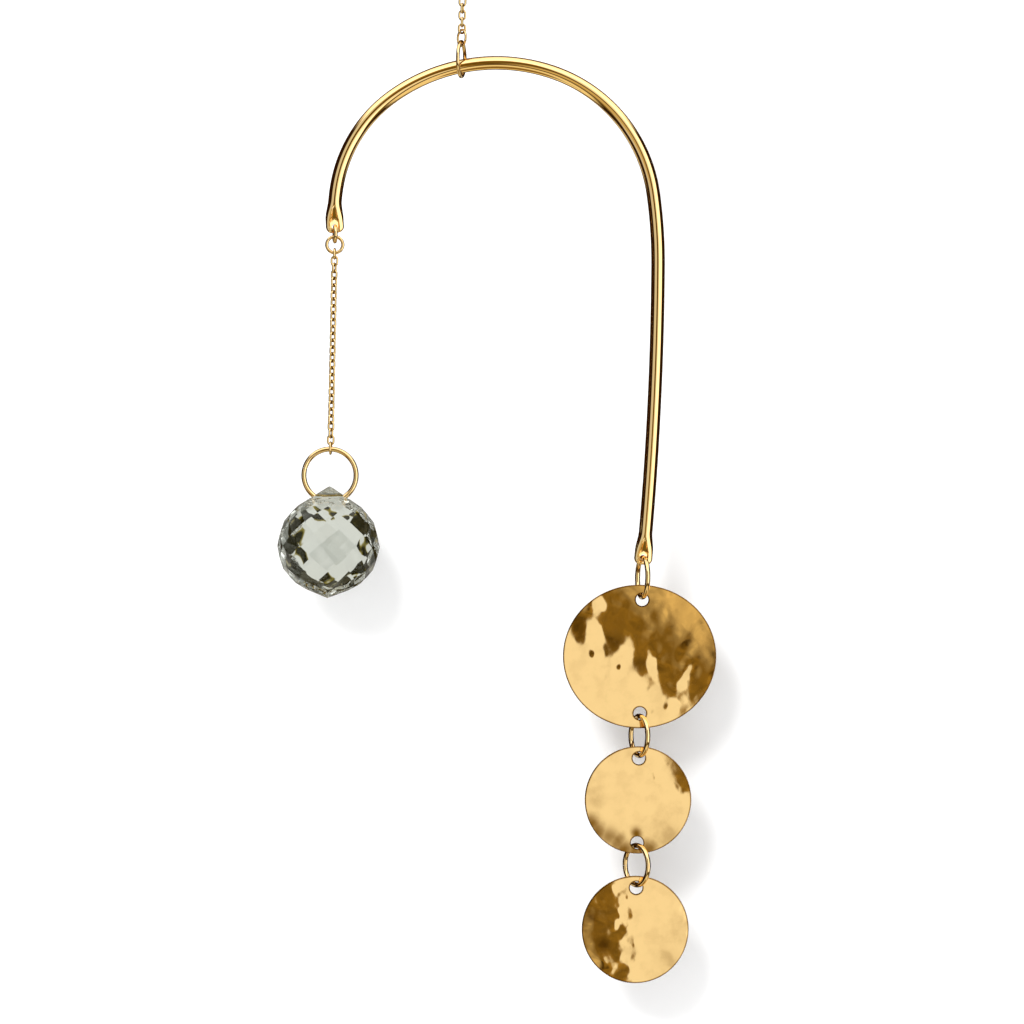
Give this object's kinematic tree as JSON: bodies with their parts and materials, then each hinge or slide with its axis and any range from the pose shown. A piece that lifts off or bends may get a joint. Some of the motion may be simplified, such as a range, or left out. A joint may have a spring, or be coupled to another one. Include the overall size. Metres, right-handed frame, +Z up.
{
  "type": "suncatcher",
  "caption": "Hanging suncatcher: a bent gold arch on a ring and chain, with a faceted glass ball under one end and hammered discs in a row under the other.",
  "frame": {"origin": "inside top of the hanging ring, where the hook that holds the suncatcher bears", "axes": "+Z up; +X from the crystal's side to the discs' side, in the plane of the arch; -Y towards the viewer of the picture"},
  "size_m": [0.1289, 0.03, 0.304],
  "materials": {
    "rod_gold": "polished gold plate on brass tube",
    "ring_gold": "polished gold plate on brass wire",
    "chain_gold": "gold plate on fine brass wire",
    "hammered_gold": "hammered sheet, gold plated and polished",
    "crystal_glass": "clear faceted crystal with a light grey smoke"
  },
  "bodies": {
    "root": {"hanging_ring": "ring_gold", "top_chain": "chain_gold", "connector_ring": "ring_gold", "arch_ring": "ring_gold", "arch_rod": "rod_gold", "left_end_ring": "ring_gold", "chain_ring": "ring_gold", "crystal_chain": "chain_gold", "crystal_ring": "ring_gold", "crystal_ball": "crystal_glass", "large_disc_ring": "ring_gold", "large_disc": "hammered_gold", "middle_disc_ring": "ring_gold", "middle_disc": "hammered_gold", "bottom_disc_ring": "ring_gold", "bottom_disc": "hammered_gold"}
  },
  "joints": []
}
